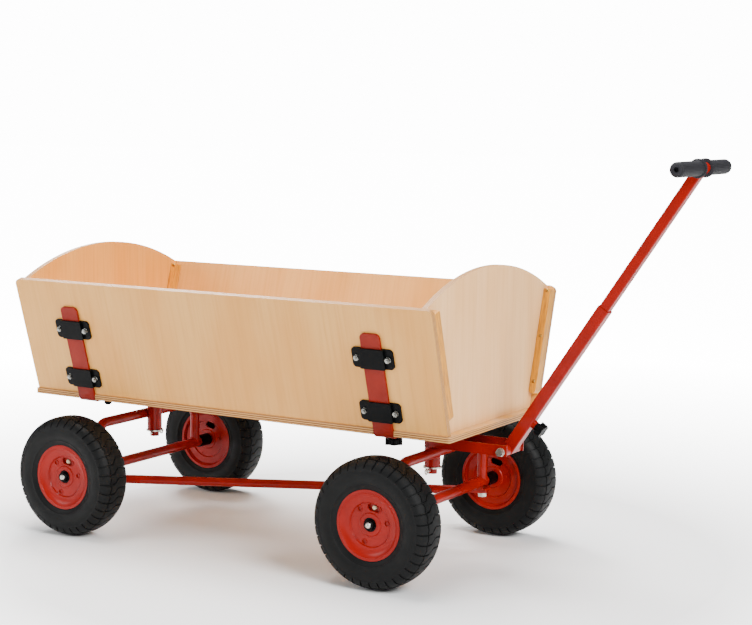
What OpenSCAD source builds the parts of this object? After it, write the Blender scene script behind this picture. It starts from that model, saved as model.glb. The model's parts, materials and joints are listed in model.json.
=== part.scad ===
// Four-wheel hand wagon with lift-off plywood sides, a pull handle and all-wheel steering.
// Millimetres, +Z up, +X forward, +Y to the wagon's left. The origin is on the ground, under the
// middle of the whole wagon with its handle raised.

/* [Floor] */
// Length of the floor board
floor_l = 1042; // [900:2:1200]
// Width of the floor board
floor_w = 418; // [400:2:460]
// Thickness of the floor board
floor_t = 12; // [9:1:18]
// Height of the floor board's top face above the ground
floor_top = 301; // [296:1:330]

/* [Side and end panels] */
// Thickness of the side and end panels
panel_t = 12; // [9:1:12]
// Length of a side panel
side_l = 1032; // [900:2:1180]
// Height of a side panel above the floor
side_h = 250; // [200:5:320]
// Outward lean of the side panels, in degrees
side_lean = 17; // [10:1:20]
// Distance from the wagon's middle to a side panel's outer bottom edge
side_foot_y = 206; // [195:1:210]
// Height of the end panel's arch above the ground
arch_top = 616; // [590:1:660]
// Distance from a side panel's end to the end panel's outer face
end_inset = 16; // [15:1:30]

/* [Battens and clips] */
// Width of a batten along the wagon
batten_w = 15; // [10:1:15]
// Depth of a batten, from the side panel inwards
batten_d = 20; // [15:1:25]
// Length of a batten
batten_l = 226; // [180:1:230]
// Width of a clip along the wagon
clip_w = 92; // [86:1:110]
// Height of a clip
clip_h = 42; // [30:1:50]
// Distance between the two bolts of a clip
clip_bolt_gap = 70; // [68:1:76]

/* [Frame] */
// Distance between the front and rear cross members
cross_gap = 750; // [700:2:800]
// Width of the flat steel of the cross members
flat_w = 44; // [35:1:46]
// Thickness of the flat steel
flat_t = 5; // [4:0.5:5]
// Length of an upright stake, up the side panel
stake_l = 206; // [180:1:215]
// Distance between the two kingpins
kingpin_gap = 722; // [690:2:760]
// How far the running gear sits forward of the floor's middle
gear_shift = 12; // [0:1:16]

/* [Running gear] */
// Distance from a kingpin to its axle
axle_offset = 22; // [20:1:26]
// Outer diameter of a tyre
tyre_d = 260; // [240:5:264]
// Width of a tyre
tyre_w = 85; // [60:1:90]
// Distance from the wagon's middle to a wheel's middle
track_half = 264; // [262:1:275]
// Outer diameter of the rims
rim_d = 140; // [130:1:144]
// Outer diameter of the axle tubes
tube_d = 22; // [20:1:24]
// Outer diameter of the tie rod
rod_d = 19; // [16:1:19]
// Diameter of the kingpins
kingpin_d = 20; // [16:1:20]

/* [Drawbar] */
// Distance from the front kingpin to the drawbar hinge
hinge_reach = 174; // [165:1:200]
// Height of the drawbar hinge above the ground
hinge_z = 248; // [247:1:252]
// Angle of the drawbar from upright, in degrees
drawbar_angle = 33.5; // [12:0.5:60]
// Distance from the hinge to the handle's crossbar
drawbar_l = 686; // [650:1:760]
// Length of the outer tube, from the hinge
outer_tube_l = 357; // [330:1:370]
// Outer width of the square outer tube
outer_tube_w = 25; // [24:1:26]
// Length of the handle over both grips
handle_l = 264; // [220:2:340]
// Diameter of a grip
grip_d = 29; // [26:1:34]

/* [Hidden] */
$fn = 48;

LEFT = 1;
RIGHT = -1;
FRONT = 1;
REAR = -1;

WOOD = "#d9b184";
BATTEN_WOOD = "#e0a050";
RED = "#c62a17";
BLACK = "#1b1c1e";
ZINC = "#c3c6c8";
NYLON = "#e6e0d2";

// clearances
play = 0.3;             // between bodies that move past each other
run_fit = 0.05;         // radial, of a shaft in its hole
weld_gap = 0.02;        // of a tube end shaped round another tube

// derived heights and places
floor_bottom = floor_top - floor_t;
stake_x = cross_gap / 2;
kingpin_x = kingpin_gap / 2;
wheel_r = tyre_d / 2;
tube_r = tube_d / 2;
side_slant = side_h / cos(side_lean);
end_outer_x = side_l / 2 - end_inset;
handle_collar_r = 18.5;
handle_x = kingpin_x + gear_shift + hinge_reach + drawbar_l * sin(drawbar_angle);
x_mid = (handle_x + handle_collar_r - floor_l / 2) / 2;

// frame details
cross_bottom = floor_bottom - flat_t;
bend_inner_r = 6;
bend_outer_r = bend_inner_r + flat_t;
bend_start = bend_inner_r * tan((90 - side_lean) / 2);
foot_corner_y = side_foot_y - floor_t * tan(side_lean);
foot_corner_s = -floor_t / cos(side_lean);
notch_depth_y = foot_corner_y - bend_start - 1;
floor_bolt_r = 4;
front_bolt_y = 167;
rear_bolt_y = 136;
bolt_end_z = 271;
knob_r = 19;
knob_bottom = 266;
knob_t = 11;

// kingpin stack, from the top down
flange_t = 5;
collar_bottom = 270;
head_top = 263;
head_bottom = 193;
head_r = 16.5;
kingpin_r = kingpin_d / 2;
kingpin_end = 178;
washer_t = 3;
linchpin_z = 185;
linchpin_r = 2.5;

// running gear
bow_z = 229;
bow_leg_y = 186;
bow_bend_r = 40;
beam_half = 200;
shaft_r = 8;
axle_thread_r = 5;
bush_r = 14;
disc_out = 27;
rim_half = 35;
bush_out = track_half + disc_out - 1;
nut_flat = 15;
wheel_turn = 13;
dimple_turns = [53, 173, 293];

// tie rod
rod_z = 109.1;
rod_eye_t = 6;
rod_eye_r = 13;
rod_pivot_y = 188;
rod_bolt_r = 5;
lug_bottom = 112.4;
lug_t = 4;
rod_dx = kingpin_gap + 2 * axle_offset;
rod_dy = 2 * rod_pivot_y;
rod_l = sqrt(rod_dx * rod_dx + rod_dy * rod_dy);
rod_turn = atan2(rod_dy, rod_dx);
rod_flat_l = 32;
rod_taper_end = 60;

// bracket and drawbar
bracket_z = 240;
bracket_t = 3;
bracket_half = 36;
bracket_top = 262;
bracket_back = 2;
bracket_web_end = 128;
bracket_front = 187;
hinge_bolt_r = 5;
sleeve_r = 11;
tube_wall = 1.7;
inner_tube_w = outer_tube_w - 2 * tube_wall - 2 * play;
knob_at = 76;
crossbar_r = 11;
collar_y = 17;
collar_t = 5;

// ---------------------------------------------------------------- placing helpers

// moves the wagon so that the origin is under the middle of its whole box
module in_row_frame() translate([-x_mid, 0, 0]) children();

// local x along the wagon, y up the panel's outer face, z outwards; side is LEFT or RIGHT
module on_side(side) {
    if (side == LEFT)
        mirror([0, 1, 0]) on_side(RIGHT) children();
    else
        translate([0, -side_foot_y, floor_top]) rotate([90 + side_lean, 0, 0]) children();
}

// local origin on the kingpin's axis at the ground, with the axle at x = axle_offset
module on_axle(which) {
    if (which == FRONT)
        translate([gear_shift + kingpin_x, 0, 0]) children();
    else
        translate([gear_shift - kingpin_x, 0, 0]) rotate([0, 0, 180]) children();
}

// local z along the wheel's axis, outwards, with the origin at the wheel's middle; y points up
// but for the turn that the wheel has stopped at
module at_wheel(which, side) {
    on_axle(which)
        translate([axle_offset, side * which * track_half, wheel_r])
            rotate([-90 * side * which, 0, 0])
                rotate([0, 0, (side == which ? 180 : 0) + side * wheel_turn]) children();
}

// local z up the drawbar, x square to it towards its front and lower face
module at_drawbar() {
    on_axle(FRONT) translate([hinge_reach, 0, hinge_z]) rotate([0, drawbar_angle, 0]) children();
}

// local z across the wagon, towards its left
module across() rotate([-90, 0, 0]) children();

// same directions, with the origin on the panel's own outer face
module on_panel(side) on_side(side) translate([0, 0, -play]) children();

// ---------------------------------------------------------------- shape helpers

module rounded_square(w, h, r) {
    square([w - 2 * r, h], center = true);
    square([w, h - 2 * r], center = true);
    for (x = [-1, 1], y = [-1, 1])
        translate([x * (w / 2 - r), y * (h / 2 - r)]) circle(r);
}

module ring(r_out, r_in, h) {
    difference() {
        cylinder(r = r_out, h = h);
        translate([0, 0, -1]) cylinder(r = r_in, h = h + 2);
    }
}

module hex(flat, h) cylinder(r = flat / sqrt(3), h = h, $fn = 6);

// low round head of a bolt, with its flat side at z = 0
module dome_head(r, h) {
    ball_r = (r * r + h * h) / (2 * h);
    intersection() {
        cylinder(r = r, h = h);
        translate([0, 0, h - ball_r]) sphere(ball_r);
    }
}

// ---------------------------------------------------------------- floor and frame

module floor_board() in_row_frame() color(WOOD) difference() {
    translate([0, 0, floor_bottom + floor_t / 2]) linear_extrude(floor_t, center = true)
        rounded_square(floor_l, floor_w, 4);
    for (x = [-stake_x, stake_x], side = [LEFT, RIGHT])
        translate([x, side * (notch_depth_y + 20), floor_bottom + floor_t / 2])
            cube([flat_w + 2, 40, floor_t + 2], center = true);
    floor_bolt_places() cylinder(r = floor_bolt_r, h = 60, center = true);
}

module floor_bolt_places() {
    for (side = [LEFT, RIGHT]) {
        translate([stake_x, side * front_bolt_y, floor_bottom]) children();
        translate([-stake_x, side * rear_bolt_y, floor_bottom]) children();
    }
}

// half of the bent flat bar, seen from the front: the bar under the floor and one bend
module cross_profile_half() {
    corner = [foot_corner_y - bend_start, floor_bottom + bend_inner_r];
    translate([0, cross_bottom]) square([corner[0], flat_t]);
    translate(corner) intersection() {
        difference() {
            circle(bend_outer_r);
            circle(bend_inner_r);
        }
        polygon([[0, 0], [0, -30], [30 * cos(side_lean), -30],
                 [30 * cos(side_lean), -30 * sin(side_lean)]]);
    }
}

module stake_blade() {
    start = foot_corner_s + bend_start;
    top_r = 10;
    linear_extrude(flat_t) {
        translate([-flat_w / 2, start]) square([flat_w, stake_l - top_r - start]);
        translate([0, stake_l - top_r]) square([flat_w - 2 * top_r, 2 * top_r], center = true);
        for (x = [-1, 1])
            translate([x * (flat_w / 2 - top_r), stake_l - top_r]) circle(top_r);
    }
}

module cross_member(which) in_row_frame() color(RED) difference() {
    union() {
        for (side = [0, 1])
            mirror([0, side, 0])
                translate([which * stake_x - flat_w / 2, 0, 0])
                    rotate([90, 0, 90]) linear_extrude(flat_w) cross_profile_half();
        for (side = [LEFT, RIGHT])
            on_side(side) translate([which * stake_x, 0, 0]) stake_blade();
    }
    floor_bolt_places() cylinder(r = floor_bolt_r, h = 60, center = true);
}

module kingpin(which) in_row_frame() on_axle(which) color(RED) difference() {
    union() {
        translate([-48, -40, cross_bottom - flange_t]) cube([96, 80, flange_t]);
        translate([0, 0, collar_bottom]) cylinder(r = 22, h = cross_bottom - collar_bottom);
        translate([0, 0, kingpin_end]) cylinder(r = kingpin_r, h = collar_bottom - kingpin_end + 1);
    }
    translate([0, 0, linchpin_z]) across() cylinder(r = linchpin_r, h = 60, center = true);
}

// bearing discs between the fixed collars and the turning head tubes
module pivot_discs() in_row_frame() color(NYLON) for (which = [FRONT, REAR])
    on_axle(which) translate([0, 0, head_top + play])
        ring(27, kingpin_r, collar_bottom - head_top - play);

module kingpin_washers() in_row_frame() color(ZINC) for (which = [FRONT, REAR])
    on_axle(which) translate([0, 0, head_bottom - play - washer_t]) ring(19, kingpin_r, washer_t);

// spring-ring linchpins that keep the kingpins in
module linchpins() in_row_frame() color(ZINC) for (which = [FRONT, REAR])
    on_axle(which) translate([0, 0, linchpin_z]) {
        translate([0, -19, 0]) across() cylinder(r = linchpin_r, h = 34);
        translate([0, -21, 0]) rotate([0, 0, 90]) rotate([90, 0, 0]) linchpin_ring();
        translate([0, -20, 0]) sphere(3.6);
    }

module linchpin_ring() translate([-5, 0, 0]) rotate_extrude() translate([5, 0]) circle(1.5);

module floor_bolts() in_row_frame() color(ZINC) floor_bolt_places() {
    translate([0, 0, floor_t]) dome_head(9, 3.5);
    translate([0, 0, bolt_end_z - floor_bottom])
        cylinder(r = floor_bolt_r, h = floor_top - bolt_end_z + 0.5);
}

module rear_cap_nuts() in_row_frame() color(BLACK) for (side = [LEFT, RIGHT])
    translate([-stake_x, side * rear_bolt_y, 0]) difference() {
        union() {
            translate([0, 0, knob_bottom + 4]) cylinder(r = 8.5, h = cross_bottom - knob_bottom - 4);
            translate([0, 0, knob_bottom + 4]) mirror([0, 0, 1]) dome_head(8.5, 4);
        }
        translate([0, 0, bolt_end_z]) cylinder(r = floor_bolt_r, h = 30);
    }

module lobed_head(r, h, lobes) {
    cylinder(r = r * 0.8, h = h);
    for (i = [0 : lobes - 1])
        rotate([0, 0, i * 360 / lobes]) translate([r * 0.72, 0, 0]) cylinder(r = r * 0.28, h = h);
}

module floor_knob(side) in_row_frame() color(BLACK)
    translate([stake_x, side * front_bolt_y, knob_bottom]) difference() {
        union() {
            lobed_head(knob_r, knob_t, 6);
            cylinder(r = 9, h = cross_bottom - play - knob_bottom);
        }
        translate([0, 0, 4]) cylinder(r = floor_bolt_r + run_fit, h = 30);
    }

// ---------------------------------------------------------------- side panels

clip_heights = [40, 154];
screw_heights = [50, 148, 246];
batten_foot = 24;
batten_xs = [end_outer_x + 1 + batten_w / 2, end_outer_x - panel_t - 1 - batten_w / 2];

module clip_places() {
    for (x = [-stake_x, stake_x], s = clip_heights) translate([x, s, 0]) children();
}

module clip_bolt_places() {
    clip_places() for (x = [-1, 1]) translate([x * clip_bolt_gap / 2, 0, 0]) children();
}

module batten_screw_places() {
    for (x = batten_xs, end = [-1, 1], s = screw_heights)
        translate([end * x, s, -panel_t - batten_d]) children();
}

module side_panel(side) in_row_frame() color(WOOD) on_panel(side) difference() {
    lift = play / cos(side_lean);
    foot = panel_t * tan(side_lean);
    rotate([90, 0, 90]) translate([0, 0, -side_l / 2]) linear_extrude(side_l)
        polygon([[lift, 0], [side_slant, 0], [side_slant, -panel_t], [lift - foot, -panel_t]]);
    for (x = [-1, 1]) translate([x * side_l / 2, side_slant, 0])
        rotate([0, 0, x > 0 ? 0 : 90]) panel_corner_cut(12);
    clip_bolt_places() cylinder(r = 3, h = 40, center = true);
    batten_screw_places() cylinder(r = 1.75, h = batten_d + 8);
}

// leaves a round corner of radius r when taken away from the corner at the origin
module panel_corner_cut(r) translate([-r, -r, -panel_t - 1]) difference() {
    cube([r + 1, r + 1, panel_t + 2]);
    translate([0, 0, -1]) cylinder(r = r, h = panel_t + 4);
}

module battens(side) in_row_frame() color(BATTEN_WOOD) on_panel(side)
    for (x = batten_xs, end = [-1, 1]) translate([end * x, 0, 0]) difference() {
        translate([0, batten_foot, -panel_t - batten_d]) batten_bar();
        for (s = screw_heights)
            translate([0, s, -panel_t - batten_d - 1]) cylinder(r = 1.75, h = batten_d + 2);
    }

// square bar with a half-round lower end
module batten_bar() {
    half = batten_w / 2;
    translate([-half, half, 0]) cube([batten_w, batten_l - half, batten_d]);
    translate([0, half, 0]) cylinder(r = half, h = batten_d);
}

module batten_screws(side) in_row_frame() color(ZINC) on_panel(side) batten_screw_places() {
    cylinder(r = 1.75, h = batten_d + 7);
    mirror([0, 0, 1]) dome_head(4, 2);
}

module clips(side) in_row_frame() color(BLACK) on_panel(side) clip_places() difference() {
    channel = flat_t + 2 * play;
    union() {
        linear_extrude(4) rounded_square(clip_w, clip_h, 8);
        linear_extrude(channel + 4) rounded_square(flat_w + 12, clip_h, 3);
    }
    translate([0, 0, channel / 2 - 0.5])
        cube([flat_w + 2 * play, clip_h + 2, channel + 1], center = true);
    for (x = [-1, 1])
        translate([x * clip_bolt_gap / 2, 0, -1]) cylinder(r = 3, h = 20);
}

// carriage bolts with a round head inside the wagon and a nut outside
module clip_bolts(side) in_row_frame() color(ZINC) on_panel(side) clip_bolt_places() {
    translate([0, 0, -panel_t]) mirror([0, 0, 1]) dome_head(7, 3);
    translate([0, 0, -panel_t - 0.5]) cylinder(r = 3, h = panel_t + 13);
    translate([0, 0, 4]) cylinder(r = 6, h = 1);
    translate([0, 0, 5]) hex(10, 5);
}

// ---------------------------------------------------------------- end panels

module end_panel(which) in_row_frame() color(WOOD) {
    foot_y = side_foot_y - (panel_t + play) / cos(side_lean) - 0.7;
    reach = arch_top - floor_top - play;
    arch_r = 606;
    translate([which > 0 ? end_outer_x - panel_t : -end_outer_x, 0, floor_top + play])
        rotate([90, 0, 90]) linear_extrude(panel_t) intersection() {
            polygon([[-foot_y, 0], [foot_y, 0], [foot_y + reach * tan(side_lean), reach],
                     [-foot_y - reach * tan(side_lean), reach]]);
            translate([0, reach - arch_r]) circle(arch_r, $fn = 180);
        }
}

// ---------------------------------------------------------------- axle frames

// tube bent into an arch over the axle, its legs shaped onto the axle beam
module bow(which) in_row_frame() on_axle(which) color(RED) difference() {
    bar_half = bow_leg_y - bow_bend_r;
    union() {
        translate([axle_offset, 0, bow_z]) across() cylinder(r = tube_r, h = 2 * bar_half, center = true);
        for (side = [-1, 1]) {
            translate([axle_offset, side * bow_leg_y, wheel_r])
                cylinder(r = tube_r, h = bow_z - bow_bend_r - wheel_r);
            translate([axle_offset, side * bar_half, bow_z - bow_bend_r])
                rotate([0, 0, side * 90]) rotate([90, 0, 0])
                    rotate_extrude(angle = 90) translate([bow_bend_r, 0]) circle(tube_r);
        }
    }
    translate([axle_offset, 0, wheel_r])
        across() cylinder(r = tube_r + weld_gap, h = 2 * beam_half + 2, center = true);
    cylinder(r = head_r + weld_gap, h = 400);
}

module axle_beam(which) in_row_frame() on_axle(which) color(RED) difference() {
    union() {
        translate([axle_offset, 0, wheel_r])
            across() cylinder(r = tube_r, h = 2 * beam_half, center = true);
        translate([axle_offset, 0, 0]) rod_lug();
    }
    translate([axle_offset, 0, wheel_r])
        across() cylinder(r = shaft_r, h = 2 * beam_half + 2, center = true);
    if (which == FRONT)
        translate([axle_offset, rod_pivot_y, lug_bottom - 1])
            cylinder(r = rod_bolt_r, h = lug_t + 1);
}

// plate under the beam's end that carries the tie rod's bolt
module rod_lug() {
    lug_in = 172;
    lug_out = beam_half - 0.5;
    rib_t = 3;
    translate([-15, lug_in, lug_bottom]) cube([30, lug_out - lug_in, lug_t]);
    for (y = [lug_in, lug_out - rib_t])
        translate([-8, y, lug_bottom + 1]) cube([16, rib_t, 10]);
}

module head_tube(which) in_row_frame() on_axle(which) color(RED)
    translate([0, 0, head_bottom]) ring(head_r, kingpin_r + run_fit, head_top - head_bottom);

module axle_shaft(which) in_row_frame() on_axle(which) color(ZINC)
    translate([axle_offset, 0, wheel_r]) across() {
        cylinder(r = shaft_r, h = 2 * bush_out, center = true);
        cylinder(r = axle_thread_r, h = 2 * bush_out + 20, center = true);
    }

// washer and domed nut on each end of the axle shaft
module axle_nuts(which) in_row_frame() on_axle(which) color(ZINC) for (side = [-1, 1])
    translate([axle_offset, side * (bush_out + play), wheel_r]) rotate([-90 * side, 0, 0]) difference() {
        union() {
            cylinder(r = 10.5, h = 2);
            translate([0, 0, 2]) hex(nut_flat, 6);
            translate([0, 0, 8]) dome_head(6.5, 5);
        }
        translate([0, 0, -1]) cylinder(r = axle_thread_r, h = 11 - play);
    }

// ---------------------------------------------------------------- wheels

// half of the tyre's outline, [distance from the axle, distance from the wheel's middle]
function tyre_side(n = 18) = let (mid = 94, rise = wheel_r - mid, half = tyre_w / 2, p = 2 / 2.4)
    [for (i = [0 : n]) let (a = 90 * i / n) [mid + rise * pow(cos(a), p), half * pow(sin(a), p)]];

bead_r = rim_d / 2 - 4;
seat_half = rim_half - 4;

module tyre(which, side) in_row_frame() at_wheel(which, side) color(BLACK) {
    crown = tyre_side();
    wall = [[84, tyre_w / 2 - 1.2], [76, tyre_w / 2 - 5], [rim_d / 2 + 1, seat_half + 3],
            [rim_d / 2 + 1, seat_half], [bead_r, seat_half]];
    outline = concat(crown, wall);
    last = len(outline) - 1;
    mirrored = [for (i = [last : -1 : 1]) [outline[i][0], -outline[i][1]]];
    rotate_extrude($fn = 96) polygon(concat(outline, mirrored));
}

// rim of two dished discs on a barrel, with a hub tube between them
module rim(which, side) in_row_frame() at_wheel(which, side) color(RED) difference() {
    rotate_extrude($fn = 96) polygon(concat(
        [[bush_r, -disc_out], [bush_r, disc_out]], rim_face(1),
        [[bead_r, seat_half], [bead_r, -seat_half]], rim_face(-1)));
    rotate_extrude($fn = 96) rim_hollow();
    for (face = [-1, 1]) {
        translate([0, 35, face * disc_out]) valve_slot();
        for (a = dimple_turns)
            rotate([0, 0, -side * a]) translate([0, 37, face * disc_out])
                cylinder(r = 4.5, h = 7, center = true);
    }
}

// outline of one face, from the hub to the flange's edge, or back again for the other face
function rim_face(face) =
    let (pts = [[22, disc_out], [24, disc_out - 2], [43, disc_out - 2], [45, disc_out + 1],
                [60, disc_out + 1], [64, rim_half], [rim_d / 2, rim_half],
                [rim_d / 2, seat_half], [bead_r, seat_half]])
    face > 0 ? pts : [for (i = [len(pts) - 1 : -1 : 0]) [pts[i][0], -pts[i][1]]];

module rim_hollow() {
    wall = 3;
    polygon([[20, -disc_out + 5], [bead_r - wall, -disc_out + 5], [bead_r - wall, disc_out - 5],
             [20, disc_out - 5]]);
}

module valve_slot() linear_extrude(12, center = true) {
    square([14, 14], center = true);
    for (x = [-7, 7]) translate([x, 0]) circle(7);
}

module hub_bush(which, side) in_row_frame() at_wheel(which, side) color(BLACK)
    translate([0, 0, beam_half + play - track_half])
        ring(bush_r, shaft_r + run_fit, bush_out - beam_half - 2 * play);

// ---------------------------------------------------------------- bracket and tie rod

// open channel from the front head tube to the drawbar's hinge
module drawbar_bracket() in_row_frame() on_axle(FRONT) color(RED) difference() {
    union() {
        translate([bracket_back, -bracket_half - bracket_t, bracket_z])
            cube([bracket_web_end - bracket_back, 2 * (bracket_half + bracket_t), bracket_t]);
        for (side = [0, 1]) mirror([0, side, 0])
            translate([bracket_back, bracket_half, bracket_z])
                cube([bracket_front - bracket_back, bracket_t, bracket_top - bracket_z]);
    }
    cylinder(r = head_r + weld_gap, h = 400);
    translate([hinge_reach, 0, hinge_z]) across() cylinder(r = hinge_bolt_r, h = 100, center = true);
}

// local x along the rod from its front pivot, with z = 0 at the rod's middle
module at_rod() {
    translate([gear_shift + kingpin_x + axle_offset, rod_pivot_y, rod_z])
        rotate([0, 0, 180 + rod_turn]) children();
}

module rod_ends() {
    children();
    translate([rod_l, 0, 0]) mirror([1, 0, 0]) children();
}

module tie_rod() in_row_frame() at_rod() color(RED) difference() {
    union() {
        translate([rod_taper_end, 0, 0]) rotate([0, 90, 0])
            cylinder(r = rod_d / 2, h = rod_l - 2 * rod_taper_end);
        rod_ends() {
            cylinder(r = rod_eye_r, h = rod_eye_t, center = true);
            translate([rod_flat_l / 2, 0, 0]) cube([rod_flat_l + 2, 2 * rod_eye_r, rod_eye_t], center = true);
            hull() {
                translate([rod_flat_l, 0, 0]) cube([1, 2 * rod_eye_r, rod_eye_t], center = true);
                translate([rod_taper_end, 0, 0]) rotate([0, 90, 0])
                    cylinder(r = rod_d / 2, h = 0.5, $fn = 32);
            }
        }
    }
    rod_ends() cylinder(r = rod_bolt_r + run_fit, h = 20, center = true);
}

// hex bolt and washer from below; shank_top is the height where the shank ends
module rod_bolt(shank_top, gap) {
    eye_bottom = rod_z - rod_eye_t / 2 - gap;
    translate([0, 0, eye_bottom - 2]) cylinder(r = 11, h = 2);
    translate([0, 0, eye_bottom - 9]) hex(17, 7);
    translate([0, 0, eye_bottom - 2]) cylinder(r = rod_bolt_r, h = shank_top - eye_bottom + 2);
}

module tie_rod_bolt_front() in_row_frame() on_axle(FRONT) color(ZINC)
    translate([axle_offset, rod_pivot_y, 0]) rod_bolt(lug_bottom + lug_t, play);

module tie_rod_bolt_rear() in_row_frame() at_rod() color(ZINC)
    translate([rod_l, 0, -rod_z]) rod_bolt(rod_z + rod_eye_t / 2, 0);

// ---------------------------------------------------------------- drawbar

module hinge_bolt() in_row_frame() on_axle(FRONT) color(ZINC)
    translate([hinge_reach, -bracket_half - bracket_t, hinge_z]) across() {
        mirror([0, 0, 1]) cylinder(r = 9, h = 1.5);
        translate([0, 0, -1.5]) mirror([0, 0, 1]) hex(15, 6);
        cylinder(r = hinge_bolt_r, h = 2 * (bracket_half + bracket_t) + 10);
    }

module hinge_nut() in_row_frame() on_axle(FRONT) color(ZINC)
    translate([hinge_reach, bracket_half + bracket_t, hinge_z]) across() difference() {
        hex(15, 8);
        translate([0, 0, -1]) cylinder(r = hinge_bolt_r, h = 12);
    }

module pivot_sleeve() in_row_frame() at_drawbar() color(RED) across()
    translate([0, 0, play - bracket_half])
        ring(sleeve_r, hinge_bolt_r + run_fit, 2 * (bracket_half - play));

module drawbar_outer_tube() in_row_frame() at_drawbar() color(RED) difference() {
    union() {
        linear_extrude(outer_tube_l) rounded_square(outer_tube_w, outer_tube_w, 2.5);
        translate([outer_tube_w / 2 - 1, 0, knob_at]) rotate([0, 90, 0]) cylinder(r = 9, h = 7);
    }
    translate([0, 0, -1]) linear_extrude(outer_tube_l + 2)
        square(outer_tube_w - 2 * tube_wall, center = true);
    across() cylinder(r = sleeve_r + weld_gap, h = 60, center = true);
    translate([0, 0, knob_at]) rotate([0, 90, 0]) cylinder(r = 4 + run_fit, h = 40);
}

module drawbar_inner_tube() in_row_frame() at_drawbar() color(RED) difference() {
    foot = sleeve_r + 1;
    translate([0, 0, foot]) linear_extrude(drawbar_l - foot) rounded_square(inner_tube_w, inner_tube_w, 2);
    translate([0, 0, foot - 1]) linear_extrude(drawbar_l) square(inner_tube_w - 4, center = true);
    translate([0, 0, drawbar_l])
        across() cylinder(r = crossbar_r + weld_gap, h = 60, center = true);
}

module handle_crossbar() in_row_frame() at_drawbar() color(RED)
    translate([0, 0, drawbar_l]) across() translate([0, 0, 10 - handle_l / 2])
        ring(crossbar_r, crossbar_r - 2, handle_l - 20);

// rubber grip with a collar at its inner end, closed over the crossbar's end
module grip(side) in_row_frame() at_drawbar() color(BLACK)
    translate([0, 0, drawbar_l]) rotate([-90 * side, 0, 0]) rotate_extrude($fn = 64) {
        end = handle_l / 2;
        r = grip_d / 2;
        polygon([[crossbar_r, collar_y], [handle_collar_r - 1, collar_y],
                 [handle_collar_r, collar_y + 1], [handle_collar_r, collar_y + collar_t - 1],
                 [handle_collar_r - 1, collar_y + collar_t], [r, collar_y + collar_t],
                 [r, end - 3], [r - 1, end - 1], [r - 3, end], [0, end],
                 [0, end - 10], [crossbar_r, end - 10]]);
    }

// lobed knob whose stud presses on the inner tube
module clamp_knob() in_row_frame() at_drawbar() color(BLACK) translate([0, 0, knob_at])
    rotate([0, 90, 0]) {
        boss_end = outer_tube_w / 2 + 6;
        tip = inner_tube_w / 2 + play;
        translate([0, 0, tip]) cylinder(r = 4, h = boss_end - tip + 5);
        translate([0, 0, boss_end + play]) cylinder(r = 9, h = 8);
        translate([0, 0, boss_end + play + 6]) lobed_head(16, 13, 6);
    }

// ---------------------------------------------------------------- nodes

floor_board();
cross_member(FRONT);  // cross_member_front
cross_member(REAR);  // cross_member_rear
kingpin(FRONT);  // kingpin_front
kingpin(REAR);  // kingpin_rear
pivot_discs();
kingpin_washers();
linchpins();
floor_bolts();
rear_cap_nuts();
floor_knob(LEFT);  // floor_knob_left
floor_knob(RIGHT);  // floor_knob_right
side_panel(LEFT);  // side_panel_left
side_panel(RIGHT);  // side_panel_right
battens(LEFT);  // battens_left
battens(RIGHT);  // battens_right
batten_screws(LEFT);  // batten_screws_left
batten_screws(RIGHT);  // batten_screws_right
clips(LEFT);  // clips_left
clips(RIGHT);  // clips_right
clip_bolts(LEFT);  // clip_bolts_left
clip_bolts(RIGHT);  // clip_bolts_right
end_panel(FRONT);  // end_panel_front
end_panel(REAR);  // end_panel_rear
bow(FRONT);  // front_bow
axle_beam(FRONT);  // front_axle_beam
head_tube(FRONT);  // front_head_tube
axle_shaft(FRONT);  // front_axle_shaft
axle_nuts(FRONT);  // front_axle_nuts
bow(REAR);  // rear_bow
axle_beam(REAR);  // rear_axle_beam
head_tube(REAR);  // rear_head_tube
axle_shaft(REAR);  // rear_axle_shaft
axle_nuts(REAR);  // rear_axle_nuts
drawbar_bracket();
tie_rod();
tie_rod_bolt_front();
tie_rod_bolt_rear();
hinge_bolt();
hinge_nut();
pivot_sleeve();
drawbar_outer_tube();
drawbar_inner_tube();
handle_crossbar();
grip(LEFT);  // grip_left
grip(RIGHT);  // grip_right
clamp_knob();
tyre(FRONT, LEFT);  // tyre_front_left
tyre(FRONT, RIGHT);  // tyre_front_right
tyre(REAR, LEFT);  // tyre_rear_left
tyre(REAR, RIGHT);  // tyre_rear_right
rim(FRONT, LEFT);  // rim_front_left
rim(FRONT, RIGHT);  // rim_front_right
rim(REAR, LEFT);  // rim_rear_left
rim(REAR, RIGHT);  // rim_rear_right
hub_bush(FRONT, LEFT);  // hub_bush_front_left
hub_bush(FRONT, RIGHT);  // hub_bush_front_right
hub_bush(REAR, LEFT);  // hub_bush_rear_left
hub_bush(REAR, RIGHT);  // hub_bush_rear_right
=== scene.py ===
"""Looks of a plywood hand wagon: its woods, paints, rubbers and small parts, in a plain studio."""

import json
import logging
import math
from collections.abc import Callable, Iterable, Sequence
from dataclasses import dataclass, field
from enum import Enum
from functools import cached_property

import bmesh
import bpy
from mathutils import Matrix, Vector


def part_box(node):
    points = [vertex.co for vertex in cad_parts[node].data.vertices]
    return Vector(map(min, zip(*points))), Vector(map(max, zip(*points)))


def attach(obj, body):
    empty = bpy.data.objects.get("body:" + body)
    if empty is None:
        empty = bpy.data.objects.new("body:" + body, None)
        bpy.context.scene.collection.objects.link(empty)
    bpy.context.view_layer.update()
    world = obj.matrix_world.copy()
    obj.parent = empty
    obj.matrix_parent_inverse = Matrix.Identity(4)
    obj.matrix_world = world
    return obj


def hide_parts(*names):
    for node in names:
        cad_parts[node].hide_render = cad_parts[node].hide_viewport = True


MM = 0.001
LOG = logging.getLogger("wagon")

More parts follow.
